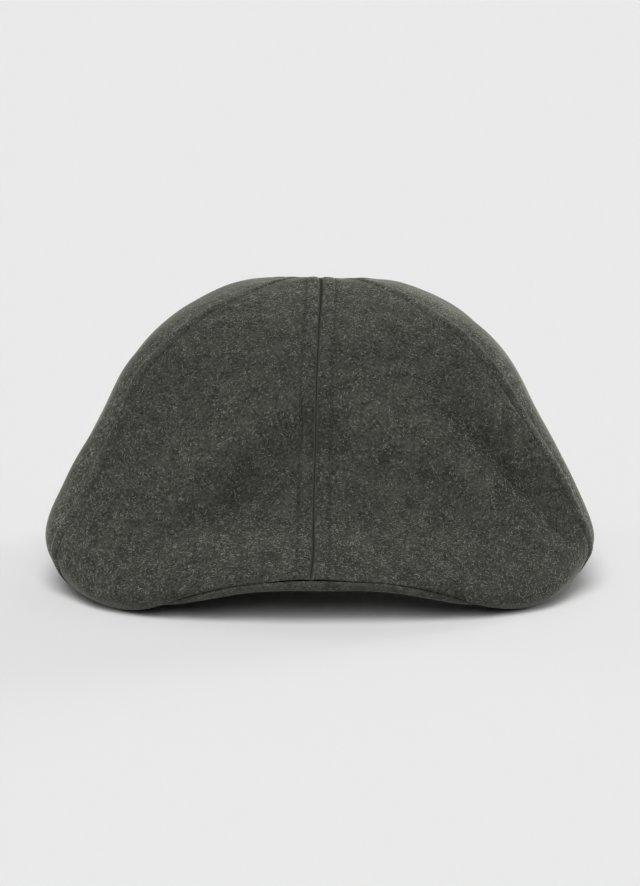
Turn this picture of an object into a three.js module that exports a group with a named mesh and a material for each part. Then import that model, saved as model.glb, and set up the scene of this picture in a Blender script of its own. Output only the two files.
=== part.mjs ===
// A soft flat cap of the duckbill kind: six felted wool panels meet at the crown, and the front two run
// down over a stiff peak and turn in around its edge. It stands on a table, on the peak's edge and the back
// rim. Millimetres, +Z up. The peak points to -Y, and +X is on the right of someone who looks at the peak.
// The origin is on the table, under the middle of the cap.

import * as THREE from 'three';

const WALL = 2; // the panels' felted cloth
const GAP = 0.3; // between two pieces that are sewn together
const HEM_WALL = 3.6; // the cloth turned up twice inside the rim
const HEM_TOP = 1.3; // the row where the hem ends, about 18 mm up
const BOARD = 3.4; // the peak's board in its cloth
const OPENING_HALF_WIDTH = 81; // of the head opening
const OPENING_CORNER_Y = -47; // where the peak's inner edge meets the side of the opening
const OPENING_CORNER_Z = 13;
const OPENING_FRONT_Y = -81;

const ROW_STEPS = 24; // stations between a panel's edge and its tip
const TIP_ROW = 7.92; // the panels' tips end just short of the apex
const PEAK_STEPS = 42; // stations from one end of the peak to the other
const PEAK_TURN = 86; // where the peak ends, to each side
const BROW_ROW = 3; // the ring where the peak's inner edge lies, at the front of the head opening
const BROW_Z = 34;
const NOSE_FROM = 40; // the turns between which the peak leaves the panels and runs straight in, at its nose
const NOSE_TO = 62;
const INNER_FROM = 10; // and at its inner edge
const INNER_TO = 50;
const INNER_BUNCHING = 1.5; // the straight stretch has its steps closer together near the nose
const NOSE_ROUNDING = [0.3, 0.8, 0.97]; // how full the board is at its first steps from the nose
const END_TURNS = 12; // the stretch over which each end of the peak is rounded off
const END_CUT = 0.55; // how much of the board's width that takes away at the very end

const LEVEL_FROM = 52; // the turns over which the rim's lower face turns level
const LEVEL_TO = 68;
const LEVEL_ROW = 0.8; // where that has faded out above the rim

// The cap is a stack of rings from the hem to the apex. A ring passes through a front, a side and a back
// point and is square to the degree given, 2 for an ellipse. reach is how far it follows the hem's own
// height. The last four columns are the turns of the seams around the cap, 0 at the front, 180 at the back.
const RINGS = named(
  ['row', 'frontY', 'frontZ', 'sideX', 'sideY', 'sideZ', 'backY', 'backZ', 'frontSquare', 'backSquare',
    'reach', 'left', 'middle', 'right', 'rear'],
  [
    [0, -127, 15, 90.5, -56.5, 11.5, 115.5, 0, 2.05, 2.3, 1, -86, -1.2, 88, 132], // hem
    [1, -124.9, 19.6, 100, -52.5, 14.8, 121.5, 8, 2.45, 2.3, 0.75, -81, -0.9, 85, 130], // roll
    [2, -106.5, 25.5, 108.2, -53.5, 24, 126.5, 22, 2.25, 2.3, 0.3, -74, -0.8, 80.5, 128], // peak top
    [3, -86.5, 36, 101, -44.5, 41.5, 126.5, 38, 2.3, 2.3, 0.06, -67.5, -0.8, 76.5, 126], // brow
    [4, -73.5, 59, 88, -35.5, 65, 121.5, 56, 2.45, 2.25, 0, -67.5, -0.5, 72, 124], // forehead
    [5, -57, 83.5, 75, -20.5, 88, 107.5, 76, 2.45, 2.2, 0, -68.5, -0.4, 67, 122], // shoulder
    [6, -34, 104, 55.5, -6, 104.5, 85.5, 95, 2.4, 2.2, 0, -61.5, -0.1, 61.5, 121], // crest
    [7, -4, 117, 29.5, 5, 114.5, 55.5, 108, 2.4, 2.1, 0, -50, 0.4, 52.5, 120], // top
    [8, 23, 113.5, 0, 23, 113.5, 23, 113.5, 2, 2, 0, -52, 0, 52, 120], // apex
  ],
);

// Along the lower edge: its height above the table, the row where the front panels' cloth ends (the peak's
// lip shows below that), how far the lip comes forward, 1 for all the way, and the row of the hidden nose.
const EDGE = named(
  ['turn', 'height', 'lip', 'forward', 'nose'],
  [
    [0, 14.8, 0.92, 1, 0.5],
    [14, 13.2, 0.6, 1, 0.5],
    [28, 8.6, 0.4, 1, 0.5],
    [42, 4.2, 0.15, 0, 0.5],
    [58, 0.2, 0, 0, 0.65],
    [74, 0, 0, 0, 0.95],
    [90, 3.6, 0, 0, 1],
    [110, 9, 0, 0, 1],
    [130, 5, 0, 0, 1],
    [148, 0, 0, 0, 1],
    [180, 0, 0, 0, 1],
  ],
);

// The peak's section from its nose to its inner edge: places on its upper and lower face, 0 to 1 on the lip
// and 1 to 2 under the panels, with their depths behind the panels' face.
const PEAK_SECTION = named(
  ['top', 'topDepth', 'under', 'underDepth'],
  [
    [0.55, 0.5, 0.4, 0.5],
    [0.66, 0.7, 0.18, 0.7],
    [0.62, 1.4, 0.06, 1.3],
    [0.5, 2.8, 0.02, 2.8],
    [0.98, 2.8, 0.2, 4.4],
    [1.1, 2.6, 1.02, 5.5],
    [1.2, 2.45, 1.15, 5.7],
    [1.35, 2.45, 1.32, 5.7],
    [1.5, 2.5, 1.5, 5.9],
    [1.67, 2.8, 1.67, 6.2],
    [1.84, 3.2, 1.84, 6.6],
    [2, 3.6, 2, 7],
  ],
);

// The soft folds: each runs through three places given by turn and row, sinks by depth (a negative depth
// stands out) and fades to the sides over width.
const FOLDS = named(
  ['turnA', 'rowA', 'turnB', 'rowB', 'turnC', 'rowC', 'width', 'depth'],
  [
    [-2, 4.3, -14, 3.5, -33, 2.6, 13, 2.2], // from the brow down over the peak, one side
    [3, 4.3, 12, 3.6, 30, 2.9, 13, 1.7], // and the other side
    [32, 4.8, 48, 3.8, 60, 2.7, 12, 3], // the dent inside the seam
    [-57, 4.2, -50, 3.9, -44, 3.5, 14, 1.5],
    [-27, 4.2, -22, 4.4, -16, 4.6, 16, -1.4], // the fullness between two folds
    [-24, 1.9, 0, 2.1, 22, 2.1, 16, -0.8],
    [100, 3.2, 112, 2.3, 122, 1.2, 18, 2.4], // slack in the sides, behind the peak
    [-98, 3.4, -112, 2.4, -124, 1.3, 18, 2],
    [150, 4.2, 160, 3, 164, 1.9, 20, 1.6], // and at the back
    [-145, 4.6, -152, 3.4, -150, 2.2, 20, 1.8],
  ],
);

const CLOTH = { color: 0x43443e, roughness: 0.95, metalness: 0 };
const PEAK_CLOTH = { color: 0x3d3e38, roughness: 0.95, metalness: 0 };

function named(columns, rows) {
  return rows.map((row) => Object.fromEntries(columns.map((column, i) => [column, row[i]])));
}

function lerp(a, b, part) {
  return a + (b - a) * part;
}

function ramp(value, from, to) {
  return THREE.MathUtils.smoothstep(value, from, to);
}

// Every column of a table at one value of its first column, on a smooth curve through the rows.
function readTable(table, at) {
  const key = Object.keys(table[0])[0];
  const last = table.length - 2;
  let i = 0;
  while (i < last && at >= table[i + 1][key]) i += 1;
  const before = table[Math.max(i - 1, 0)];
  const after = table[Math.min(i + 2, last + 1)];
  const [start, end] = [table[i], table[i + 1]];
  const step = end[key] - start[key];
  const f = (at - start[key]) / step;
  const result = {};
  for (const column of Object.keys(start)) {
    const slopeIn = ((end[column] - before[column]) / (end[key] - before[key])) * step;
    const slopeOut = ((after[column] - start[column]) / (after[key] - start[key])) * step;
    result[column] = start[column] * (2 * f ** 3 - 3 * f ** 2 + 1) + end[column] * (3 * f ** 2 - 2 * f ** 3)
      + slopeIn * (f ** 3 - 2 * f ** 2 + f) + slopeOut * (f ** 3 - f ** 2);
  }
  return result;
}

// The rings with one more below the hem, and one past the apex: the top ring seen from the other side.
function extendedRings() {
  const [first, second] = RINGS;
  const [top, apex] = RINGS.slice(-2);
  const below = {};
  for (const column of Object.keys(first)) below[column] = 2 * first[column] - second[column];
  const past = {
    ...top,
    row: apex.row + 1,
    frontY: top.backY,
    frontZ: top.backZ,
    sideX: -top.sideX,
    sideY: 2 * apex.sideY - top.sideY,
    backY: top.frontY,
    backZ: top.frontZ,
  };
  return [below, ...RINGS, past];
}

// The edge's table with a row more at each end, so that it runs level through the front and the back.
function extendedEdge() {
  const before = { ...EDGE[1], turn: -EDGE[1].turn };
  const beyond = { ...EDGE[EDGE.length - 2], turn: 360 - EDGE[EDGE.length - 2].turn };
  return [before, ...EDGE, beyond];
}

const rings = extendedRings();
const edge = extendedEdge();

function ringAt(row) {
  return readTable(rings, row);
}

function edgeAt(turn) {
  const found = readTable(edge, Math.abs(turn));
  return { ...found, height: Math.max(found.height, 0) };
}

// A point on the cap's outer face before the folds.
function plainSkin(turn, row) {
  const ring = ringAt(row);
  const hem = RINGS[0];
  const angle = THREE.MathUtils.degToRad(turn);
  const across = Math.abs(Math.sin(angle));
  const along = Math.abs(Math.cos(angle));
  const inFront = Math.cos(angle) >= 0;
  const power = 2 / (inFront ? ring.frontSquare : ring.backSquare);
  const endY = inFront ? ring.frontY : ring.backY;
  const endZ = inFront ? ring.frontZ : ring.backZ;
  const hemEndZ = inFront ? hem.frontZ : hem.backZ;
  const hemZ = lerp(hem.sideZ, hemEndZ, along ** 2);
  return new THREE.Vector3(
    Math.sign(turn) * ring.sideX * across ** power,
    lerp(ring.sideY, endY, along ** power),
    lerp(ring.sideZ, endZ, along ** 2) + ring.reach * (edgeAt(turn).height - hemZ),
  );
}

const FOLD_STEPS = 8; // pieces that a fold's line is measured in

// A fold's line through its three places, as a row of points on the skin.
function foldLine(fold) {
  const points = [];
  for (let i = 0; i <= FOLD_STEPS; i += 1) {
    const t = i / FOLD_STEPS;
    const weights = [(1 - t) * (1 - 2 * t), 4 * t * (1 - t), t * (2 * t - 1)];
    const turn = fold.turnA * weights[0] + fold.turnB * weights[1] + fold.turnC * weights[2];
    const row = fold.rowA * weights[0] + fold.rowB * weights[1] + fold.rowC * weights[2];
    points.push(plainSkin(turn, row));
  }
  return points;
}

const foldLines = FOLDS.map((fold) => ({ ...fold, points: foldLine(fold) }));

function foldDepth(point) {
  const segment = new THREE.Line3();
  const nearest = new THREE.Vector3();
  let depth = 0;
  for (const fold of foldLines) {
    let distance = Infinity;
    for (let i = 0; i < FOLD_STEPS; i += 1) {
      segment.set(fold.points[i], fold.points[i + 1]).closestPointToPoint(point, true, nearest);
      distance = Math.min(distance, nearest.distanceTo(point));
    }
    depth += fold.depth * Math.exp(-((distance / fold.width) ** 2));
  }
  return depth;
}

const TURN_STEP = 0.4; // degrees, for the slope of the skin
const ROW_STEP = 0.02;

function alongRing(turn, row) {
  return plainSkin(turn + TURN_STEP, row).sub(plainSkin(turn - TURN_STEP, row)).normalize();
}

// Straight out of the skin, turned level at the rim behind the peak so that the hem's lower face is flat.
function outward(turn, row) {
  const up = plainSkin(turn, row + ROW_STEP).sub(plainSkin(turn, row - ROW_STEP));
  const normal = alongRing(turn, row).cross(up).normalize();
  const levelled = ramp(Math.abs(turn), LEVEL_FROM, LEVEL_TO) * (1 - ramp(row, 0, LEVEL_ROW));
  normal.z *= 1 - levelled;
  return normal.normalize();
}

// The point of the cap at a turn and a row, and at a depth behind the outer face.
function inWall(turn, row, depth) {
  const point = plainSkin(turn, row);
  return point.addScaledVector(outward(turn, row), -depth - foldDepth(point));
}

// A closed body through a row of stations, each with as many points on its outer as on its inner side. The
// facing edges of two bodies that are seamed together are split along the same diagonal.
function loft(stations) {
  const count = stations[0].outer.length;
  const loop = 2 * count;
  const positions = [];
  for (const { outer, inner } of stations) {
    for (const point of [...outer, ...[...inner].reverse()]) positions.push(point.x, point.y, point.z);
  }
  const index = [];
  const quad = (a, b, c, d) => index.push(a, b, c, a, c, d);
  for (let s = 0; s < stations.length - 1; s += 1) {
    for (let i = 0; i < loop; i += 1) {
      const next = (i + 1) % loop;
      const corners = [s * loop + i, s * loop + next, (s + 1) * loop + next, (s + 1) * loop + i];
      if (i === loop - 1) corners.push(corners.shift());
      quad(...corners);
    }
  }
  const end = (stations.length - 1) * loop;
  for (let i = 0; i < count - 1; i += 1) {
    const back = loop - 1 - i;
    quad(i, back, back - 1, i + 1);
    quad(end + i, end + i + 1, end + back - 1, end + back);
  }
  const geometry = new THREE.BufferGeometry();
  geometry.setAttribute('position', new THREE.Float32BufferAttribute(positions, 3));
  geometry.setIndex(index);
  geometry.computeVertexNormals();
  return geometry;
}

// One panel of the crown, between two seams. The front ones end at the lip, and the others are hemmed.
function panel(name, fromSeam, toSeam, columns, isFront) {
  const stations = [];
  for (let k = 0; k <= ROW_STEPS; k += 1) {
    const outer = [];
    const inner = [];
    for (let i = 0; i <= columns; i += 1) {
      const turnAt = (row) => lerp(fromSeam(ringAt(row)), toSeam(ringAt(row)), i / columns);
      const firstRow = isFront ? edgeAt(turnAt(0)).lip : 0;
      const row = lerp(firstRow, TIP_ROW, k / ROW_STEPS);
      const turn = turnAt(row);
      const wall = !isFront && row < HEM_TOP ? HEM_WALL : WALL;
      const side = Math.sign(columns - 2 * i) * (i === 0 || i === columns ? 1 : 0);
      const inset = alongRing(turn, row).multiplyScalar((side * GAP) / 2);
      outer.push(inWall(turn, row, 0).add(inset));
      inner.push(inWall(turn, row, wall).add(inset));
    }
    stations.push({ outer, inner });
  }
  return piece(name, loft(stations), CLOTH);
}

// The row that a place across the peak lies at: below 1 it is on the lip, and from 1 to 2 under the panels.
function peakRow(place, lip) {
  return place < 1 ? place * lip : lerp(lip, BROW_ROW, place - 1);
}

// Two points across the peak where it follows the panels, one on its upper and one on its lower face.
function followingPanels(turn, step) {
  const { lip, forward } = edgeAt(turn);
  const { top, topDepth, under, underDepth } = PEAK_SECTION[step];
  const hidden = WALL + GAP;
  return [[top, topDepth], [under, underDepth]].map(([place, depth]) => (
    inWall(turn, peakRow(place, lip), depth < hidden ? lerp(hidden, depth, forward) : depth)
  ));
}

// The same two points where the peak runs straight in from its nose to the side of the head opening. The
// ends of the peak are rounded off.
function runningStraight(turn, step) {
  const angle = THREE.MathUtils.degToRad(turn);
  const nose = inWall(turn, edgeAt(turn).nose, WALL + GAP + BOARD / 2);
  const innerEdge = new THREE.Vector3(
    OPENING_HALF_WIDTH * Math.sin(angle),
    lerp(OPENING_CORNER_Y, OPENING_FRONT_Y, Math.cos(angle)),
    lerp(OPENING_CORNER_Z, BROW_Z, Math.cos(angle) ** 2),
  );
  const cutBack = END_CUT * ramp(Math.abs(turn), PEAK_TURN - END_TURNS, PEAK_TURN) ** 2;
  const place = (step / (PEAK_SECTION.length - 1)) ** INNER_BUNCHING;
  const middle = nose.clone().lerp(innerEdge, lerp(cutBack, 1, place));
  const half = (BOARD / 2) * (NOSE_ROUNDING[step] ?? 1);
  return [1, -1].map((face) => middle.clone().setZ(middle.z + face * half));
}

function peak() {
  const stations = [];
  for (let s = 0; s <= PEAK_STEPS; s += 1) {
    const turn = lerp(-PEAK_TURN, PEAK_TURN, s / PEAK_STEPS);
    const across = PEAK_SECTION.map((_, step) => {
      const free = runningStraight(turn, step);
      const inwards = step / (PEAK_SECTION.length - 1);
      const from = lerp(NOSE_FROM, INNER_FROM, inwards);
      const straight = ramp(Math.abs(turn), from, lerp(NOSE_TO, INNER_TO, inwards));
      return followingPanels(turn, step).map((point, face) => point.lerp(free[face], straight));
    });
    stations.push({ outer: across.map(([, under]) => under), inner: across.map(([top]) => top) });
  }
  return piece('peak', loft(stations), PEAK_CLOTH);
}

function piece(name, geometry, finish) {
  const mesh = new THREE.Mesh(geometry, new THREE.MeshStandardMaterial(finish));
  mesh.name = name;
  return mesh;
}

const cap = new THREE.Group();
cap.add(
  panel('front_panel_left', (ring) => ring.left, (ring) => ring.middle, 18, true),
  panel('front_panel_right', (ring) => ring.middle, (ring) => ring.right, 18, true),
  panel('side_panel_left', (ring) => -ring.rear, (ring) => ring.left, 10, false),
  panel('side_panel_right', (ring) => ring.right, (ring) => ring.rear, 10, false),
  panel('back_panel_left', () => -180, (ring) => -ring.rear, 12, false),
  panel('back_panel_right', (ring) => ring.rear, () => 180, 12, false),
  peak(),
);

export default cap;
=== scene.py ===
import math

import bpy
import numpy as np
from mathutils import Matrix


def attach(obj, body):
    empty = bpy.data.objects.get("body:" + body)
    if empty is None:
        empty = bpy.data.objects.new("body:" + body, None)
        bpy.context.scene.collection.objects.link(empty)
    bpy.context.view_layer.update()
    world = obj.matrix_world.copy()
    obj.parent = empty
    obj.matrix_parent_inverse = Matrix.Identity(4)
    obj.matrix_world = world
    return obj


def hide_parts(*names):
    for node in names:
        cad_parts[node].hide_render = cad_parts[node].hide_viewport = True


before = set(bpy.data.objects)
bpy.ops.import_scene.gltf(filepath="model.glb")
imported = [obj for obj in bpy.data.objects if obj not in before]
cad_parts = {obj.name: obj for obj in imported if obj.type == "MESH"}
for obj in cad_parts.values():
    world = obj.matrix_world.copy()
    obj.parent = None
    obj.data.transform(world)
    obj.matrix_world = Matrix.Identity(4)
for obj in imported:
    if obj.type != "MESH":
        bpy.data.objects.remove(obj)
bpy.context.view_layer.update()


# Front panels: two pieces of felted wool, cut long, so that one cloth makes the brow and the top of the peak.
# They are sewn together along the middle, topstitched a quarter inch to each side of the seam, and turned in
# around the peak's edge. The wool, the cap's block shape and the seams are made here for all its panels.

MM = 0.001
WALL = 2.0               # the cloth, as felt swells it
STITCH_OFFSET = 6.0      # from a seam to its topstitching
STITCH_PITCH = 3.2
TIP_ROW = 7.995          # where a panel's tip ends, at the apex
APEX_LUMP = 0.8          # the seams' cloth bunched under the apex
APEX_SPREAD = 8

# The wool: dark olive grey fibres felted together with lighter grey ones, so that the cloth is mottled, and
# short pale fibres lie over it in every direction.
WOOL_DARK = (0.016, 0.0165, 0.0132, 1)
WOOL_MID = (0.0458, 0.0471, 0.0389, 1)
PANEL_PALE = (0.15, 0.15, 0.133, 1)
# Each lay of pale fibres: its turn on the cloth in degrees, the fibres' length and width in metres, and how
# rare they are.
FIBRE_LAYS = ((12, 0.0020, 0.00038, 0.74), (47, 0.0016, 0.00034, 0.73), (81, 0.0022, 0.00038, 0.74),
              (119, 0.0015, 0.00034, 0.73), (152, 0.0023, 0.0004, 0.75), (173, 0.0014, 0.00034, 0.74))
FIBRE_COVER = 0.85       # how far a pale fibre hides the wool under it


def add_node(material, kind, **settings):
    made = material.node_tree.nodes.new(kind)
    for key, value in settings.items():
        setattr(made, key, value)
    return made


def join(material, source, output, target, socket):
    material.node_tree.links.new(source.outputs[output], target.inputs[socket])


def felt_noise(material, scale, detail, shift):
    """Noise in the cap's own space, moved aside so that no two are alike."""
    place = add_node(material, "ShaderNodeTexCoord")
    moved = add_node(material, "ShaderNodeMapping")
    moved.inputs["Location"].default_value = (shift, shift * 0.7, -shift)
    join(material, place, "Object", moved, "Vector")
    made = add_node(material, "ShaderNodeTexNoise")
    made.inputs["Scale"].default_value = scale
    made.inputs["Detail"].default_value = detail
    join(material, moved, "Vector", made, "Vector")
    return made


def mottled_ground(material, mottle):
    """The colour of the dark and grey fibres carded together, in clouds and flecks."""
    cloud = felt_noise(material, 150, 2, 0.31)
    blended = add_node(material, "ShaderNodeMath", operation="MULTIPLY_ADD")
    blended.inputs[1].default_value = 0.45
    join(material, cloud, "Fac", blended, 0)
    join(material, mottle, "Fac", blended, 2)
    tone = add_node(material, "ShaderNodeValToRGB")
    tone.color_ramp.elements[0].position = 0.54
    tone.color_ramp.elements[0].color = WOOL_DARK
    tone.color_ramp.elements[1].position = 0.92
    tone.color_ramp.elements[1].color = WOOL_MID
    join(material, blended, "Value", tone, "Fac")
    return tone.outputs["Color"]


def bent_cloth(material):
    """The cloth's own flat measures, bent a little, so that its fibres curl."""
    flat = add_node(material, "ShaderNodeUVMap", uv_map="cloth")
    bend = add_node(material, "ShaderNodeTexNoise")
    bend.inputs["Scale"].default_value = 330
    bend.inputs["Detail"].default_value = 1
    join(material, flat, "UV", bend, "Vector")
    bent = add_node(material, "ShaderNodeVectorMath", operation="MULTIPLY_ADD")
    bent.inputs[1].default_value = (0.001, 0.001, 0)
    join(material, bend, "Color", bent, 0)
    join(material, flat, "UV", bent, 2)
    return bent


def fibre_lay(material, bent, gather, turn, length, width, least):
    """Where the fibres of one lay show: noise drawn out long in one direction, closer together in places."""
    laid = add_node(material, "ShaderNodeMapping", vector_type="TEXTURE")
    laid.inputs["Location"].default_value = (turn * 0.037, turn * 0.013, 0)
    laid.inputs["Rotation"].default_value = (0, 0, math.radians(turn))
    laid.inputs["Scale"].default_value = (length, width, 1)
    join(material, bent, "Vector", laid, "Vector")
    field = add_node(material, "ShaderNodeTexNoise")
    field.inputs["Scale"].default_value = 1
    field.inputs["Detail"].default_value = 0
    join(material, laid, "Vector", field, "Vector")
    gathered = add_node(material, "ShaderNodeMath", operation="MULTIPLY_ADD")
    gathered.inputs[1].default_value = 0.14
    join(material, gather, "Fac", gathered, 0)
    join(material, field, "Fac", gathered, 2)
    fibre = add_node(material, "ShaderNodeMapRange", interpolation_type="SMOOTHSTEP")
    fibre.inputs["From Min"].default_value = least + 0.07
    fibre.inputs["From Max"].default_value = least + 0.13
    join(material, gathered, "Value", fibre, "Value")
    share = add_node(material, "ShaderNodeMath", operation="MULTIPLY")
    share.inputs[1].default_value = FIBRE_COVER
    join(material, fibre, "Result", share, 0)
    return share


def with_pale_fibres(material, colour, pale):
    """The ground's colour with every lay of pale fibres over it, and the fibres' own relief."""
    bent = bent_cloth(material)
    gather = felt_noise(material, 230, 1, 5.3)
    raised = None
    for lay in FIBRE_LAYS:
        share = fibre_lay(material, bent, gather, *lay)
        mixed = add_node(material, "ShaderNodeMix", data_type="RGBA")
        join(material, share, "Value", mixed, "Factor")
        material.node_tree.links.new(colour, mixed.inputs[6])
        mixed.inputs[7].default_value = pale
        colour = mixed.outputs[2]
        if raised is None:
            raised = share
        else:
            both = add_node(material, "ShaderNodeMath", operation="ADD")
            join(material, raised, "Value", both, 0)
            join(material, share, "Value", both, 1)
            raised = both
    return colour, raised


def wool(name, pale):
    """Felted melange wool with a short nap."""
    material = bpy.data.materials.new(name)
    material.use_nodes = True
    shader = material.node_tree.nodes["Principled BSDF"]
    shader.inputs["Roughness"].default_value = 0.95
    shader.inputs["Specular IOR Level"].default_value = 0.15
    shader.inputs["Sheen Weight"].default_value = 0.35
    shader.inputs["Sheen Roughness"].default_value = 0.3
    shader.inputs["Sheen Tint"].default_value = (0.8, 0.84, 0.72, 1)
    mottle = felt_noise(material, 900, 3, 0)
    colour, raised = with_pale_fibres(material, mottled_ground(material, mottle), pale)

    # painted light and shade: the colour is scaled by a stored factor, painted paler where light falls on the
    # top, the peak and the side panels, and painted darker where shade falls in the folds and along the
    # topstitching
    painted_light_shade = add_node(material, "ShaderNodeAttribute", attribute_name="painted_light_shade")
    lit = add_node(material, "ShaderNodeVectorMath", operation="SCALE")
    material.node_tree.links.new(colour, lit.inputs[0])
    join(material, painted_light_shade, "Fac", lit, "Scale")
    join(material, lit, "Vector", shader, "Base Color")

    relief = add_node(material, "ShaderNodeMath", operation="MULTIPLY_ADD")
    relief.inputs[1].default_value = 1.5
    join(material, mottle, "Fac", relief, 0)
    join(material, raised, "Value", relief, 2)
    bump = add_node(material, "ShaderNodeBump")
    bump.inputs["Strength"].default_value = 0.6
    bump.inputs["Distance"].default_value = 0.0003
    join(material, relief, "Value", bump, "Height")
    join(material, bump, "Normal", shader, "Normal")
    return material


def plain(name, colour, roughness, specular):
    """A material of one even colour."""
    material = bpy.data.materials.new(name)
    material.use_nodes = True
    shader = material.node_tree.nodes["Principled BSDF"]
    shader.inputs["Base Color"].default_value = colour
    shader.inputs["Roughness"].default_value = roughness
    shader.inputs["Specular IOR Level"].default_value = specular
    return material


panel_wool = wool("panel_wool", PANEL_PALE)
seam_wool = plain("seam_wool", (0.05, 0.051, 0.043, 1), 1, 0.1)      # pressed flat inside a seam

# The cap's block shape is drawn in rings, from the rim to the apex. A ring has its front, side and back
# points in millimetres, how square it is, and how far it follows the rim's own height.
RING_COLUMNS = ("front_y", "front_z", "side_x", "side_y", "side_z", "back_y", "back_z",
                "front_square", "back_square", "reach")
RINGS = np.array([
    (-127, 15, 90.5, -56.5, 11.5, 115.5, 0, 2.05, 2.3, 1),          # hem
    (-124.9, 19.6, 100, -52.5, 14.8, 121.5, 8, 2.45, 2.3, 0.75),    # roll
    (-106.5, 25.5, 108.2, -53.5, 24, 126.5, 22, 2.25, 2.3, 0.3),    # peak top
    (-86.5, 36, 101, -44.5, 41.5, 126.5, 38, 2.3, 2.3, 0.06),       # brow
    (-73.5, 59, 88, -35.5, 65, 121.5, 56, 2.45, 2.25, 0),           # forehead
    (-57, 83.5, 75, -20.5, 88, 107.5, 76, 2.45, 2.2, 0),            # shoulder
    (-34, 104, 55.5, -6, 104.5, 85.5, 95, 2.4, 2.2, 0),             # crest
    (-4, 117, 29.5, 5, 114.5, 55.5, 108, 2.4, 2.1, 0),              # top
    (23, 113.5, 0, 23, 113.5, 23, 113.5, 2, 2, 0),                  # apex
])
BROW_ROW = 3

# Where the seams cross each ring, in degrees round the cap: 0 in front, 180 at the back.
LEFT_SEAM = (-86, -81, -74, -67.5, -67.5, -68.5, -61.5, -50, -52)
MIDDLE_SEAM = (-1.2, -0.9, -0.8, -0.8, -0.5, -0.4, -0.1, 0.4, 0)
RIGHT_SEAM = (88, 85, 80.5, 76.5, 72, 67, 61.5, 52.5, 52)

# The lower edge: the turn, the cloth's height above the table and the ring where the front panels end.
EDGE_TURNS = (0, 14, 28, 42, 58, 74, 90, 110, 130, 148, 180)
EDGE_HEIGHTS = (14.8, 13.2, 8.4, 3.1, 0.2, 0, 3.6, 9, 5, 0, 0)
EDGE_LIPS = (0.92, 0.6, 0.4, 0.15, 0, 0, 0, 0, 0, 0, 0)
LEVEL_TURNS = (52, 68)   # from the peak's corners backwards the cloth hangs straight down at the rim
LEVEL_ROW = 0.8

# Soft folds through three places (turn and ring), with their width and how deep they sink at each place, in
# millimetres. Where the depth is below 0, the cloth is full and stands out.
FOLDS = (
    ((-2.5, 4.28), (-15, 3.4), (-37, 2.4), 9.5, (3.5, 5, 2.5)),     # from the brow down over the peak, left
    ((0.5, 4.25), (8, 3.95), (15, 3.6), 8, (3, 3, 1)),              # and right
    ((22, 3.9), (31, 3.05), (46, 2.3), 8.5, (1.2, 2.5, 1.8)),
    ((32, 4.95), (46, 3.9), (61, 2.6), 8.5, (2.5, 6.5, 4.2)),       # the dent inside the right seam
    ((47, 5), (60.5, 4.1), (71, 3.1), 4, (-0.5, -2, -0.8)),         # the ridge beside it
    ((-57, 4.2), (-50, 3.9), (-44, 3.5), 14, (1, 1.5, 1)),          # the shallow dent inside the left seam
    ((-76, 4.6), (-80, 3.6), (-82, 2.8), 9, (-0.3, -0.5, -0.3)),
    ((-37, 3.2), (-23, 4.1), (-12, 4.9), 10, (-1.2, -2.2, -1)),     # the fullness between the folds
    ((33, 4), (40, 3.4), (48, 2.8), 8, (-0.8, -1.4, -0.8)),
    ((6, 4.8), (18, 4.4), (27, 4.2), 10, (-0.8, -1.2, -0.8)),
    ((-14, 6.9), (-4, 6.95), (3, 6.9), 5, (-0.6, -1, -0.6)),        # the crest in front of the apex
    ((-24, 1.9), (0, 2.1), (22, 2.1), 16, (-0.6, -1.8, -0.6)),      # the board's curve under the cloth
    ((100, 3.2), (112, 2.3), (122, 1.2), 18, (1, 2.4, 1)),          # slack in the sides
    ((-98, 3.4), (-112, 2.4), (-124, 1.3), 18, (1, 2, 1)),
    ((150, 4.2), (160, 3), (164, 1.9), 20, (0.8, 1.6, 0.8)),        # and at the back
    ((-145, 4.6), (-152, 3.4), (-150, 2.2), 20, (0.8, 1.8, 0.8)),
)


def through(keys, values, at):
    """A smooth curve through a table's rows, read at any place between them."""
    keys = np.asarray(keys, float)
    values = np.asarray(values, float)
    slope = np.empty_like(values)
    spread = (keys[2:] - keys[:-2]).reshape((-1,) + (1,) * (values.ndim - 1))
    slope[1:-1] = (values[2:] - values[:-2]) / spread
    slope[0] = (values[1] - values[0]) / (keys[1] - keys[0])
    slope[-1] = (values[-1] - values[-2]) / (keys[-1] - keys[-2])
    at = np.asarray(at, float)
    i = np.clip(np.searchsorted(keys, at, side="right") - 1, 0, len(keys) - 2)
    step = keys[i + 1] - keys[i]
    f = (at - keys[i]) / step
    shape = (...,) + (None,) * (values.ndim - 1)
    f = f[shape]
    step = step[shape]
    rise = 3 * f ** 2 - 2 * f ** 3
    return (values[i] * (1 - rise) + values[i + 1] * rise
            + slope[i] * step * (f ** 3 - 2 * f ** 2 + f) + slope[i + 1] * step * (f ** 3 - f ** 2))


def with_end_rings(rings):
    """The rings with one more below the hem, and with the top ring carried on past the apex."""
    column = RING_COLUMNS.index
    front = [column("front_y"), column("front_z")]
    back = [column("back_y"), column("back_z")]
    below = 2 * rings[0] - rings[1]
    past = rings[-2].copy()
    past[front] = rings[-2][back]
    past[back] = rings[-2][front]
    past[column("side_x")] = -rings[-2][column("side_x")]
    past[column("side_y")] = 2 * rings[-1][column("side_y")] - rings[-2][column("side_y")]
    return np.vstack([below, rings, past])


ALL_RINGS = with_end_rings(RINGS)
RING_KEYS = np.arange(-1, len(RINGS) + 1)
EDGE_KEYS = (-EDGE_TURNS[1],) + EDGE_TURNS + (360 - EDGE_TURNS[-2],)


def along_edge(values, turn):
    """A value along the lower edge, level through the front and the back."""
    return through(EDGE_KEYS, (values[1],) + values + (values[-2],), np.abs(turn))


def seam_turn(seam, row):
    """The turn of a seam at a ring, with its run carried on past both ends."""
    values = (2 * seam[0] - seam[1],) + tuple(seam) + (seam[-2],)
    return through(RING_KEYS, values, row)


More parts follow.
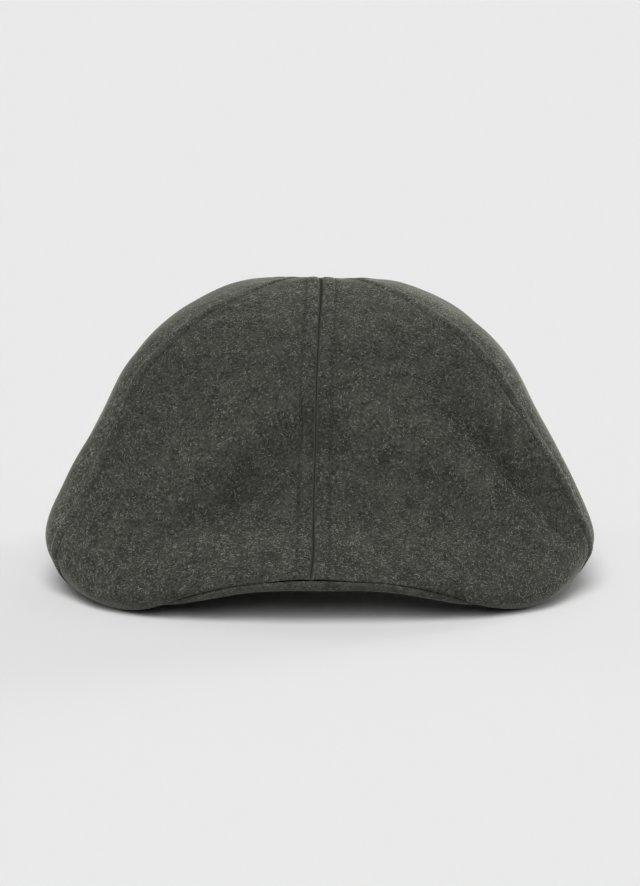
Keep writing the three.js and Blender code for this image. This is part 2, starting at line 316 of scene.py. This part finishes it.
def skin(turn, row):
    """The cap's smooth outer face, in millimetres."""
    ring = dict(zip(RING_COLUMNS, np.moveaxis(through(RING_KEYS, ALL_RINGS, row), -1, 0)))
    angle = np.radians(np.abs(turn))
    across = np.abs(np.sin(angle))
    along = np.abs(np.cos(angle))
    in_front = np.cos(angle) >= 0
    power = 2 / np.where(in_front, ring["front_square"], ring["back_square"])
    end_y = np.where(in_front, ring["front_y"], ring["back_y"])
    end_z = np.where(in_front, ring["front_z"], ring["back_z"])
    hem = dict(zip(RING_COLUMNS, RINGS[0]))
    hem_z = hem["side_z"] + (np.where(in_front, hem["front_z"], hem["back_z"]) - hem["side_z"]) * along ** 2
    height = np.maximum(along_edge(EDGE_HEIGHTS, turn), 0)
    x = np.sign(turn) * ring["side_x"] * across ** power
    y = ring["side_y"] + (end_y - ring["side_y"]) * along ** power
    z = ring["side_z"] + (end_z - ring["side_z"]) * along ** 2 + ring["reach"] * (height - hem_z)
    return np.stack([x, y, z], -1)


def unit(vectors):
    return vectors / np.maximum(np.linalg.norm(vectors, axis=-1, keepdims=True), 1e-9)


def smooth_step(value, start, end):
    part = np.clip((value - start) / (end - start), 0, 1)
    return part * part * (3 - 2 * part)


TURN_STEP = 0.4          # to each side of a point, to find which way the skin runs there
ROW_STEP = 0.02


def outward(turn, row):
    """Straight out of the skin, turned level at the rim behind the peak."""
    ring_way = skin(turn + TURN_STEP, row) - skin(turn - TURN_STEP, row)
    up_way = skin(turn, row + ROW_STEP) - skin(turn, row - ROW_STEP)
    normal = unit(np.cross(unit(ring_way), up_way))
    level = smooth_step(np.abs(turn), *LEVEL_TURNS) * (1 - smooth_step(row, 0, LEVEL_ROW))
    normal[..., 2] *= 1 - level
    return unit(normal)


def fold_depth(points):
    """How far the folds sink the cloth at each point."""
    depth = np.zeros(points.shape[:-1])
    steps = np.linspace(0, 1, 25)
    for start, middle, end, width, deep in FOLDS:
        weights = np.stack([(1 - steps) * (1 - 2 * steps), 4 * steps * (1 - steps), steps * (2 * steps - 1)])
        turns, rows = np.array([start, middle, end]).T @ weights
        sunk = np.zeros(points.shape[:-1])
        for place, here in zip(skin(turns, rows), np.interp(steps, (0, 0.5, 1), np.abs(deep))):
            sunk = np.maximum(sunk, here * np.exp(-(np.linalg.norm(points - place, axis=-1) / width) ** 2))
        depth += np.sign(deep[1]) * sunk
    return depth


# The soft unevenness of felted cloth: waves in any direction, each with its turns to the millimetre and its
# start.
WAVE_COUNT = 14
WAVE_WAYS = np.random.default_rng(7).normal(size=(WAVE_COUNT, 3))
WAVE_TURNS = np.random.default_rng(8).uniform(0.012, 0.05, WAVE_COUNT)
WAVE_STARTS = np.random.default_rng(9).uniform(0, 2 * math.pi, WAVE_COUNT)
WAVE_HEIGHT = 0.01       # for each millimetre of a wave's length


def unevenness(points):
    total = np.zeros(points.shape[:-1])
    for way, turns, start in zip(WAVE_WAYS, WAVE_TURNS, WAVE_STARTS):
        wave = np.sin(points @ (way / np.linalg.norm(way)) * turns * 2 * math.pi + start)
        total += wave * (WAVE_HEIGHT / turns)
    return total / math.sqrt(WAVE_COUNT)


# How a panel's edge lies at a seam, in millimetres: how far the allowance under it lifts it, how far its
# topstitching draws it in, how deep and wide the groove is, how far the panel itself lies lower, how round
# its fold is, how far in its nap is pressed flat, and the gap to the next panel.
OPEN_SEAM = {"lift": 0.3, "drawn": 0.45, "groove": 0.9, "groove_width": 1.5, "lower": 0, "fold": 1,
             "pressed": 0.9, "gap": 0.02}
LAPPED_SEAM = {"lift": 0.45, "drawn": 0.75, "groove": 0, "groove_width": 1, "lower": 0, "fold": 0.8,
               "pressed": 0.6, "gap": 0.1}
LIFT_RISE = (0.2, 2.5)   # where the cloth rises onto the allowance, and where it comes down past it
LIFT_FALL = (STITCH_OFFSET - 1, STITCH_OFFSET + 1.5)
DIMPLE_WIDTH = 0.7       # of the line that the topstitching draws in
PINCH = 0.2              # the share of that line's depth that comes and goes with each stitch
PUCKER = 0.1             # the height of the small puckers that the seam's own thread draws
PUCKER_REACH = 7
PUCKER_WAVE = 0.83       # how close they follow each other, in radians to the millimetre
PUCKER_DRIFT = 0.11      # and how slowly that changes along the seam
LOWER_REACH = 3          # how far in a panel that lies lower under its neighbour comes up again


def seam_relief(distance, length, seam):
    """The height of the cloth beside a seam."""
    pinch = 1 - PINCH + PINCH * np.cos(2 * math.pi * length / STITCH_PITCH)
    pucker = PUCKER * np.sin(length * PUCKER_WAVE + 2 * np.sin(length * PUCKER_DRIFT))
    pucker = pucker * np.exp(-(distance / PUCKER_REACH) ** 2)
    lift = seam["lift"] * smooth_step(distance, *LIFT_RISE) * (1 - smooth_step(distance, *LIFT_FALL))
    drawn = seam["drawn"] * pinch * np.exp(-((distance - STITCH_OFFSET) / DIMPLE_WIDTH) ** 2)
    groove = seam["groove"] * np.exp(-(distance / seam["groove_width"]) ** 2)
    lower = seam["lower"] * np.exp(-(distance / LOWER_REACH) ** 2)
    return lift - drawn - groove - lower + pucker


# Painted light and shade on the wool: how much paler it is painted by the ring, a painted highlight on the
# peak and the top, how much darker for each millimetre that a fold sinks, a painted shade in the folds, and
# how much darker along the topstitching, a painted shade in its dimple, with the width of that line.
PAINTED_LIGHT_RINGS = (0, 1.3, 1.8, 2.3, 3.2, 5.4, 6.1, 6.7, 8)
PAINTED_LIGHT_BY_RING = (1, 0.98, 1.1, 1.14, 1, 1, 1.34, 1.62, 1.3)
PAINTED_SHADE_IN_FOLD = 0.058
PAINTED_SHADE_AT_STITCHES = 0.3
PAINTED_SHADE_LINE_WIDTH = 0.6


def painted_light_and_shade(base, row_values, places, styles, lay):
    """Painted light and shade over a panel, as a factor on its colour: lay paints the whole panel paler, and
    the distances from both seams are in places.
    """
    painted_light_shade = lay * np.interp(row_values, PAINTED_LIGHT_RINGS, PAINTED_LIGHT_BY_RING) - PAINTED_SHADE_IN_FOLD * fold_depth(base)
    for seam, distance in zip(styles, places):
        if seam["drawn"]:
            painted_light_shade -= PAINTED_SHADE_AT_STITCHES * np.exp(-((distance - STITCH_OFFSET) / PAINTED_SHADE_LINE_WIDTH) ** 2)
    return painted_light_shade


# Columns of a panel, counted in from a seam in millimetres: the rounded fold at the seam with its depth,
# and then close columns as far as past the topstitching.
FOLD_PLACES = np.array([0, 0.1, 0.35, 0.7, 1.15])
FOLD_DEPTHS = np.array([1.0, 0.55, 0.2, 0.04, 0])
BAND_PLACES = np.array([1.7, 2.4, 3.2, 4.0, 4.7, 5.2, 5.6, 6.0, 6.4, 6.8, 7.4, 8.4, 9.8])
BAND = np.concatenate([FOLD_PLACES, BAND_PLACES])
BAND_SHARE = 0.46        # the most that a seam's band takes of a narrow panel
GAP_SHARE = 0.04         # and the most that its gap takes of a panel's tip
MIDDLE_COLUMNS = 56
STITCH_COLUMN = int(np.argmin(np.abs(BAND - STITCH_OFFSET)))
# Places where a panel's width is measured, as shares of it, closest beside the seams.
CLOSE_SHARE = 0.02
MEASURED = np.concatenate([
    np.linspace(0, CLOSE_SHARE, 21)[:-1],
    np.linspace(CLOSE_SHARE, 1 - CLOSE_SHARE, 121),
    np.linspace(1 - CLOSE_SHARE, 1, 21)[1:],
])
stitch_paths = []


def panel_stations(from_seam, to_seam, rows, first_row, styles):
    """Turns, rows and distances across for every column of a panel, a station for each row."""
    turns, row_values, distances, widths = [], [], [], []
    start_turn = seam_turn(from_seam, 0)
    end_turn = seam_turn(to_seam, 0)
    # the lowest station follows the lip, and the higher ones even out
    lowest = first_row(start_turn + (end_turn - start_turn) * MEASURED)
    for part in rows:
        row_line = lowest + (TIP_ROW - lowest) * part
        turn_line = seam_turn(from_seam, row_line) * (1 - MEASURED) + seam_turn(to_seam, row_line) * MEASURED
        points = skin(turn_line, row_line)
        run = np.concatenate([[0], np.cumsum(np.linalg.norm(np.diff(points, axis=0), axis=-1))])
        width = run[-1]
        squeeze = min(1, BAND_SHARE * width / BAND[-1])
        near, far = (BAND * squeeze + min(style["gap"], GAP_SHARE * width) / 2 for style in styles)
        middle = np.linspace(near[-1], width - far[-1], MIDDLE_COLUMNS + 2)[1:-1]
        places = np.concatenate([near, middle, width - far[::-1]])
        turns.append(np.interp(places, run, turn_line))
        row_values.append(np.interp(places, run, row_line))
        distances.append(places)
        widths.append(np.full(len(places), width))
    return np.array(turns), np.array(row_values), np.array(distances), np.array(widths)


def lengths_along(points):
    """The length along each column of points from its first one, in millimetres."""
    steps = np.linalg.norm(np.diff(points, axis=0), axis=-1)
    return np.vstack([np.zeros(points.shape[1]), np.cumsum(steps, axis=0)])


def edge_rounding(along, reach):
    """How far the rounding of a turned edge is drawn in, from 1 at the very edge to 0 at its reach."""
    part = np.clip(along / reach, 0, 1)
    return np.sqrt(np.clip(1 - part * (2 - part), 0, 1))


INSIDE_SHIFT = 0.5       # the inside shows another part of the cloth, half a metre away


def round_the_wall(outside, inside):
    """Columns all round the wall: over the outside, back along the inside, and the first again."""
    return np.concatenate([outside, inside[:, ::-1], outside[:, :1]], axis=1)


def closed_cloth(name, outer, inner, across, along, pressed, painted_light_shade, materials):
    """A closed body of cloth from a grid: its outer and inner faces, joined at the seams and at both ends."""
    loop = round_the_wall(outer, inner)
    rows, columns = loop.shape[:2]
    bpy.ops.object.select_all(action="DESELECT")
    bpy.ops.mesh.primitive_grid_add(x_subdivisions=columns - 1, y_subdivisions=rows - 1, size=1)
    piece = bpy.context.object
    piece.name = name
    piece.data.vertices.foreach_set("co", loop.ravel())
    # the UV map holds the cloth's own flat measures, in metres
    flat = np.stack([across, along], -1) * MM
    flat = round_the_wall(flat, flat + INSIDE_SHIFT).reshape(-1, 2)
    corners = np.empty(len(piece.data.loops), np.int64)
    piece.data.loops.foreach_get("vertex_index", corners)
    piece.data.uv_layers[0].name = "cloth"
    piece.data.uv_layers[0].uv.foreach_set("vector", flat[corners].astype(np.float32).ravel())
    # the painted light and shade, on the outside only; the inside is left even
    shade = piece.data.attributes.new("painted_light_shade", "FLOAT", "POINT")
    shade.data.foreach_set("value", round_the_wall(painted_light_shade, np.ones(painted_light_shade.shape)).ravel())
    # the second material is for the cloth's fold down in a seam
    for material in materials:
        piece.data.materials.append(material)
    deep = round_the_wall(pressed, pressed).ravel()
    material_index = np.array([min(deep[index] for index in face.vertices) for face in piece.data.polygons])
    piece.data.polygons.foreach_set("material_index", material_index.astype(np.int32))
    # doubles are merged while a unit is a millimetre, so that the panels' fine tips stay whole
    bpy.ops.object.mode_set(mode="EDIT")
    bpy.ops.mesh.select_all(action="SELECT")
    bpy.ops.mesh.remove_doubles(threshold=0.0001)
    bpy.ops.transform.resize(value=(MM, MM, MM), center_override=(0, 0, 0))
    bpy.ops.mesh.normals_make_consistent(inside=False)
    bpy.ops.object.mode_set(mode="OBJECT")
    bpy.ops.object.shade_smooth()
    return piece


ALLOWANCE = 0.9          # the cloth folded back inside a seam
ALLOWANCE_ENDS = (STITCH_OFFSET, STITCH_OFFSET + 0.4)
ALLOWANCE_ROWS = (BROW_ROW + 0.1, BROW_ROW + 0.5)    # it lies flat on the peak, and full above the brow
WALL_BLEND = (0.2, 4)    # from a seam to where a hemmed panel has its full wall
CLOTH_SHIFT = 40         # from one panel's place on the cloth to another's


def panel_body(name, from_seam, to_seam, rows, first_row, wall_at, styles, edge_reach, grain, lay=1):
    """One panel between two seams, with its relief, as a closed body. The cloth's grain runs straight up the
    panel at a place across it, from 0 at its first seam to 1 at its second."""
    turns, row_values, distances, widths = panel_stations(from_seam, to_seam, rows, first_row, styles)
    base = skin(turns, row_values)
    out = outward(turns, row_values)
    along = lengths_along(base)
    squeeze = np.minimum(1, BAND_SHARE * widths / BAND[-1])
    places = (distances / squeeze, (widths - distances) / squeeze)
    from_edge = np.minimum(distances, widths - distances)
    first_half = distances < widths / 2

    fold_share = np.where(first_half, styles[0]["fold"], styles[1]["fold"])
    fold = np.interp(from_edge / squeeze, FOLD_PLACES, FOLD_DEPTHS) * squeeze * fold_share
    relief = (seam_relief(places[0], along, styles[0]) + seam_relief(places[1], along, styles[1])) * squeeze
    from_apex = np.linalg.norm(base - skin(0, 8), axis=-1)
    lump = APEX_LUMP * np.exp(-(from_apex / APEX_SPREAD) ** 2)
    height = relief + lump - fold_depth(base) + unevenness(base)

    wall = WALL + (wall_at(row_values) - WALL) * smooth_step(from_edge, *WALL_BLEND)
    allowance = ALLOWANCE * (1 - smooth_step(from_edge, *ALLOWANCE_ENDS)) * squeeze
    allowance = allowance * smooth_step(row_values, *ALLOWANCE_ROWS)
    rounding = edge_rounding(along, edge_reach)
    depth_out = np.maximum(fold, rounding * wall / 2)
    depth_in = wall + allowance
    depth_in = depth_in - rounding * (depth_in - wall / 2)
    outer = base + out * (height - depth_out)[..., None]
    inner = base + out * (height - relief - depth_in)[..., None]
    # both ends are drawn together, so that the body closes
    middle = (outer[[0, -1]] + inner[[0, -1]]) / 2
    outer[[0, -1]] = middle
    inner[[0, -1]] = middle

    for side, column in enumerate((STITCH_COLUMN, -1 - STITCH_COLUMN)):
        if styles[side]["drawn"]:
            stitch_paths.append((name, side, outer[:, column], out[:, column], along[:, column]))
    across = distances - grain * widths + CLOTH_SHIFT * len(name)
    pressed = from_edge / squeeze < np.where(first_half, styles[0]["pressed"], styles[1]["pressed"])
    # painted light and shade for the panel's colour: lay paints the whole panel paler where it is above 1,
    # and the rest is painted by ring, fold and topstitching
    painted_light_shade = painted_light_and_shade(base, row_values, places, styles, lay)
    return closed_cloth(name, outer, inner, across, along, pressed, painted_light_shade, (panel_wool, seam_wool))


def lip_row(turn):
    return along_edge(EDGE_LIPS, turn)


def even_wall(row):
    return np.full(row.shape, WALL)


# the stations up a front panel: a few close ones for the turned edge, and then even ones
FRONT_ROWS = np.concatenate([(0, 0.0006, 0.0018, 0.004, 0.008), np.linspace(0.014, 1, 130)])
FRONT_EDGE = 1.0         # how far the rounding of their turned edge reaches

fronts = [
    panel_body("front_panel_left_cloth", LEFT_SEAM, MIDDLE_SEAM, FRONT_ROWS, lip_row, even_wall,
               (LAPPED_SEAM, OPEN_SEAM), FRONT_EDGE, 1),
    panel_body("front_panel_right_cloth", MIDDLE_SEAM, RIGHT_SEAM, FRONT_ROWS, lip_row, even_wall,
               (OPEN_SEAM, LAPPED_SEAM), FRONT_EDGE, 0),
]
for cloth, node in zip(fronts, ("front_panel_left", "front_panel_right")):
    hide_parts(node)
    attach(cloth, "root")


# Side and back panels: the same wool, one panel over each ear and two that meet at the back of the head.
# Their lower edge is turned up inside into a hem about 18 mm high, which is why the rim is thicker than the
# wall. The side panels lie under the edges of the others. The side and back panels are painted paler than the
# front ones, the right side most, as painted light.

HEM_WALL = 3.6
HEM_TOP = 1.3            # the ring where the turned-up cloth ends
HEM_BLEND = 0.03
HEM_EDGE = 1.8           # how far the rounding of the folded rim reaches


def hemmed_wall(row):
    return WALL + (HEM_WALL - WALL) * (1 - smooth_step(row, HEM_TOP - HEM_BLEND, HEM_TOP + HEM_BLEND))


def level_row(turn):
    return np.zeros(np.shape(turn))


# the stations up a hemmed panel, close at the rim and where the hem ends
HEM_ROWS = np.unique(np.concatenate([
    (0, 0.0008, 0.0025, 0.006, 0.011, 0.018),
    np.linspace(0.018, 0.15, 14),
    np.linspace(HEM_TOP - 2 * HEM_BLEND, HEM_TOP + 2 * HEM_BLEND, 9) / TIP_ROW,
    np.linspace(0.18, 1, 104),
]))

REAR_SEAM = (132, 130, 128, 126, 124, 122, 121, 120, 120)
MINUS_REAR_SEAM = tuple(-turn for turn in REAR_SEAM)
UNDER_SEAM = {"lift": 0, "drawn": 0, "groove": 0, "groove_width": 1, "lower": 0.5, "fold": 0.1,
              "pressed": 0.4, "gap": 0.1}
BACK_SEAM = dict(OPEN_SEAM, gap=0.04)
# Each panel: its node, its two seams, how it lies at them, where its grain is straight, and how much paler it
# is painted than the front panels, as painted light.
OTHER_PANELS = (
    ("side_panel_left", MINUS_REAR_SEAM, LEFT_SEAM, (UNDER_SEAM, UNDER_SEAM), 0.5, 1.35),
    ("side_panel_right", RIGHT_SEAM, REAR_SEAM, (UNDER_SEAM, UNDER_SEAM), 0.5, 1.6),
    ("back_panel_left", (-180,) * 9, MINUS_REAR_SEAM, (BACK_SEAM, LAPPED_SEAM), 0, 1.1),
    ("back_panel_right", REAR_SEAM, (180,) * 9, (LAPPED_SEAM, BACK_SEAM), 1, 1.1),
)
for node, from_seam, to_seam, styles, grain, lay in OTHER_PANELS:
    cloth = panel_body(node + "_cloth", from_seam, to_seam, HEM_ROWS, level_row, hemmed_wall, styles,
                       HEM_EDGE, grain, lay)
    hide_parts(node)
    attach(cloth, "root")


# Peak: a curved stiff board sewn into wool, held between the front panels and their turned-in cloth. Its edge
# shows below the front panels as a thin lip.

BOARD = 3.4                  # the board in its cloth
HIDDEN = WALL + 0.4          # the depth at which the peak lies under the panels
BROW_Z = 34
OPENING_HALF_WIDTH = 81      # of the head opening, with its corner's y and z, and its front
OPENING_CORNER = (-47, 13)
OPENING_FRONT = -81
PEAK_TURN = 86               # the peak's corners
PEAK_PALE = (0.14, 0.14, 0.124, 1)
# Along the lower edge, as above: how far the lip lies forward of the hidden board, and the nose's ring.
EDGE_FORWARD = (1, 1, 1, 0, 0, 0, 0, 0, 0, 0, 0)
EDGE_NOSES = (0.5, 0.5, 0.5, 0.5, 0.65, 0.95, 1, 1, 1, 1, 1)
# Places on the peak's upper and lower face from its nose inwards, each with its depth behind the panels'
# face: 0 to 1 on the lip, and 1 to 2 under the panels.
PROFILE_COLUMNS = ("upper_place", "upper_depth", "lower_place", "lower_depth")
PEAK_PROFILE = np.array([
    (0.56, 0.15, 0.5, 0.13),
    (0.68, 0.22, 0.34, 0.2),
    (0.79, 0.5, 0.2, 0.4),
    (0.85, 1.1, 0.09, 0.9),
    (0.875, 1.85, 0.02, 1.7),
    (0.9, 2.75, 0.02, 2.9),
    (0.98, 3, 0.2, 4.4),
    (1.1, 2.75, 1.02, 5.5),
    (1.2, 2.45, 1.15, 5.7),
    (1.35, 2.45, 1.32, 5.8),
    (1.5, 2.5, 1.5, 5.9),
    (1.67, 2.8, 1.67, 6.2),
    (1.84, 3.2, 1.84, 6.6),
    (1.96, 3.5, 1.96, 6.9),
    (2, 4.4, 2, 6),
])
LAST_STEP = len(PEAK_PROFILE) - 1
# How full the board is at each step where it runs straight, beside the opening.
STRAIGHT_FULLNESS = (0.2, 0.5, 0.75, 0.9, 1, 1, 1, 1, 1, 1, 1, 1, 1, 0.95, 0.35)
# Between these turns the board leaves the panels and runs straight: at its nose, and at its inner edge.
LEAVES_AT_NOSE = (40, 62)
LEAVES_INSIDE = (10, 50)
CORNER_CUT = 0.55            # how far the nose is cut back at the corners
CORNER_TURN = 12
CORNER_ROUND = 1.2           # the last degrees, over which the board thins out
DEGREE_WIDTH = 1.8           # of the peak's cloth, in millimetres
CLOSE_AT_NOSE = 1.5          # how much closer its stations lie at the nose than inside
PEAK_COLUMNS = 150
PEAK_STATIONS = 57
END_TURN = 0.15              # from the corner to the next column


def follows_panels(turn, step, top):
    """A point on the peak's face where it lies close under the front panels or shows as the lip."""
    here = through(np.arange(LAST_STEP + 1), PEAK_PROFILE, step)
    profile = dict(zip(PROFILE_COLUMNS, np.moveaxis(here, -1, 0)))
    place = profile["upper_place" if top else "lower_place"]
    depth = profile["upper_depth" if top else "lower_depth"]
    lip = lip_row(turn)
    row = np.where(place < 1, place * lip, lip + (BROW_ROW - lip) * (place - 1))
    forward = along_edge(EDGE_FORWARD, turn)
    depth = np.where(depth < HIDDEN, HIDDEN + (depth - HIDDEN) * forward, depth)
    base = skin(turn, row)
    return base + outward(turn, row) * (unevenness(base) - fold_depth(base) - depth)[..., None]


def runs_straight(turn, step, top):
    """A point on the peak's face between its nose and the head opening."""
    nose_row = along_edge(EDGE_NOSES, turn)
    nose_base = skin(turn, nose_row)
    nose = nose_base - outward(turn, nose_row) * (HIDDEN + BOARD / 2 + fold_depth(nose_base))[..., None]
    angle = np.radians(turn)
    corner_y, corner_z = OPENING_CORNER
    inner_edge = np.stack([OPENING_HALF_WIDTH * np.sin(angle),
                           corner_y + (OPENING_FRONT - corner_y) * np.cos(angle),
                           corner_z + (BROW_Z - corner_z) * np.cos(angle) ** 2], -1)
    cut_back = CORNER_CUT * smooth_step(np.abs(turn), PEAK_TURN - CORNER_TURN, PEAK_TURN) ** 2
    part = cut_back + (1 - cut_back) * (step / LAST_STEP) ** CLOSE_AT_NOSE
    straight = nose + (inner_edge - nose) * part[..., None]
    full = through(np.arange(LAST_STEP + 1), STRAIGHT_FULLNESS, step)
    straight[..., 2] += (1 if top else -1) * BOARD / 2 * full
    return straight


def peak_face(turn, step, top):
    """A point on the peak's upper or lower face, at a turn and a step inwards from its nose."""
    inwards = step / LAST_STEP
    start, end = (nose + (inside - nose) * inwards for nose, inside in zip(LEAVES_AT_NOSE, LEAVES_INSIDE))
    leaving = smooth_step(np.abs(turn), start, end)[..., None]
    return follows_panels(turn, step, top) * (1 - leaving) + runs_straight(turn, step, top) * leaving


inner_turn = PEAK_TURN - END_TURN
turn_line = np.concatenate([[-PEAK_TURN], np.linspace(-inner_turn, inner_turn, PEAK_COLUMNS), [PEAK_TURN]])
step_line = np.linspace(0, LAST_STEP, PEAK_STATIONS)
peak_turns, peak_steps = np.meshgrid(turn_line, step_line, indexing="ij")
under = peak_face(peak_turns, peak_steps, False)
upper = peak_face(peak_turns, peak_steps, True)
at_corner = ((np.abs(turn_line) - PEAK_TURN + CORNER_ROUND) / CORNER_ROUND).clip(0, 1)
thin = np.sqrt(np.clip(1 - at_corner ** 2, 0, 1))[:, None, None]
middle = (under + upper) / 2
under = middle + (under - middle) * thin
upper = middle + (upper - middle) * thin
inward_run = lengths_along(np.swapaxes(under, 0, 1)).T
round_run = peak_turns * DEGREE_WIDTH
never_pressed = np.zeros(peak_turns.shape, bool)
# the peak gets no painted light or shade
no_painted_light = np.ones(peak_turns.shape)
peak_wool = wool("peak_wool", PEAK_PALE)
peak = closed_cloth("peak_cloth", under, upper, inward_run, round_run, never_pressed, no_painted_light,
                    (peak_wool, seam_wool))
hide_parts("peak")
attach(peak, "root")


# Topstitching: a quarter inch beside the middle seams, and on the front and back panels beside the side
# seams, where the cloth inside the seam is pressed over. Wool-coloured thread, sunk in the nap.

THREAD = 0.21                # half its thickness
STITCH_LENGTH = 2.5
STITCH_ARCH = 0.35           # how far a stitch rises in its middle
STITCH_SUNK = 0.12           # how far it sinks in the nap
STITCH_END = 9               # the length left unstitched at the apex
STITCH_AIM = 0.6             # ahead and behind, to find which way a stitch lies
thread_grey = plain("thread_grey", (0.017, 0.018, 0.014, 1), 0.7, 0.5)


def one_stitch():
    """A stitch of thread, 1 long and 1 thick, along X."""
    bpy.ops.object.select_all(action="DESELECT")
    bpy.ops.mesh.primitive_uv_sphere_add(segments=8, ring_count=6, radius=0.5)
    shaped = bpy.context.object
    bpy.ops.object.mode_set(mode="EDIT")
    bpy.ops.mesh.select_all(action="SELECT")
    bpy.ops.transform.rotate(value=math.radians(90), orient_axis="Y", center_override=(0, 0, 0))
    bpy.ops.object.mode_set(mode="OBJECT")
    points = np.array([vertex.co[:] for vertex in shaped.data.vertices])
    faces = [list(face.vertices) for face in shaped.data.polygons]
    bpy.data.objects.remove(shaped)
    return points, faces


STITCH_POINTS, STITCH_FACES = one_stitch()


def stitch_row(name, path, normals, along):
    """A row of stitches on a path over the cloth, one to each dimple."""
    count = int((along[-1] - STITCH_END) / STITCH_PITCH)
    points, faces = [], []
    for k in range(1, count):
        at = (k + 0.5) * STITCH_PITCH
        place, ahead, behind, up = (
            np.array([np.interp(at + shift, along, values[:, axis]) for axis in range(3)])
            for shift, values in ((0, path), (STITCH_AIM, path), (-STITCH_AIM, path), (0, normals)))
        way = unit(ahead - behind)
        side = unit(np.cross(up, way))
        up = np.cross(way, side)
        arch = STITCH_ARCH * (0.25 - STITCH_POINTS[:, :1] ** 2)
        placed = (place + up * (arch - STITCH_SUNK) + way * STITCH_POINTS[:, :1] * STITCH_LENGTH
                  + side * STITCH_POINTS[:, 1:2] * 2 * THREAD + up * STITCH_POINTS[:, 2:3] * 2 * THREAD)
        faces += [[index + len(points) * len(STITCH_POINTS) for index in face] for face in STITCH_FACES]
        points.append(placed)
    mesh = bpy.data.meshes.new(name)
    mesh.from_pydata((np.concatenate(points) * MM).tolist(), [], faces)
    row = bpy.data.objects.new(name, mesh)
    bpy.context.collection.objects.link(row)
    mesh.shade_smooth()
    mesh.materials.append(thread_grey)
    return row


for panel, side, path, normals, along in stitch_paths:
    row = stitch_row(panel.replace("_cloth", "_stitches_" + ("a", "b")[side]), path, normals, along)
    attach(row, "root")


# Studio: a pale paper floor that runs out of the picture, an even pale room, and soft lights: two from the
# front, high and lower, a weak one from behind, and one low from each side for the edges.

bpy.ops.mesh.primitive_plane_add(size=60, location=(0, 0, -0.0001))
floor = bpy.context.object
floor.name = "floor"
floor.data.materials.append(plain("floor_paper", (0.793, 0.793, 0.793, 1), 1, 0))

scene = bpy.context.scene
scene.view_settings.view_transform = "Standard"
world = bpy.data.worlds.new("room")
scene.world = world
world.use_nodes = True
world.node_tree.nodes["Background"].inputs["Color"].default_value = (1, 1, 1, 1)
world.node_tree.nodes["Background"].inputs["Strength"].default_value = 0.12

# Each light, far off: its name, its strength, how far it tips over from straight above and turns round from
# the front, and how wide it is, in degrees.
LIGHTS = (
    ("key_light", 1.85, 40, -6, 32),
    ("front_light", 2.0, 60, 0, 30),
    ("back_light", 0.25, 52, 165, 40),
    ("left_light", 0.8, 86, -118, 24),
    ("right_light", 2.6, 86, 132, 24),
)
for name, strength, tip, turn, spread in LIGHTS:
    lamp = bpy.data.lights.new(name, "SUN")
    lamp.energy = strength
    lamp.angle = math.radians(spread)
    light = bpy.data.objects.new(name, lamp)
    light.rotation_euler = (math.radians(tip), 0, math.radians(turn))
    scene.collection.objects.link(light)


# Camera: at the photo's angle, nine degrees above the table.

lens = bpy.data.cameras.new("camera")
lens.lens = 120.7
lens.shift_y = -0.0148
lens.clip_end = 100
camera = bpy.data.objects.new("camera", lens)
scene.collection.objects.link(camera)
camera.location = (0, -1.2025, 0.2451)
camera.rotation_euler = (math.radians(81), 0, 0)
scene.camera = camera
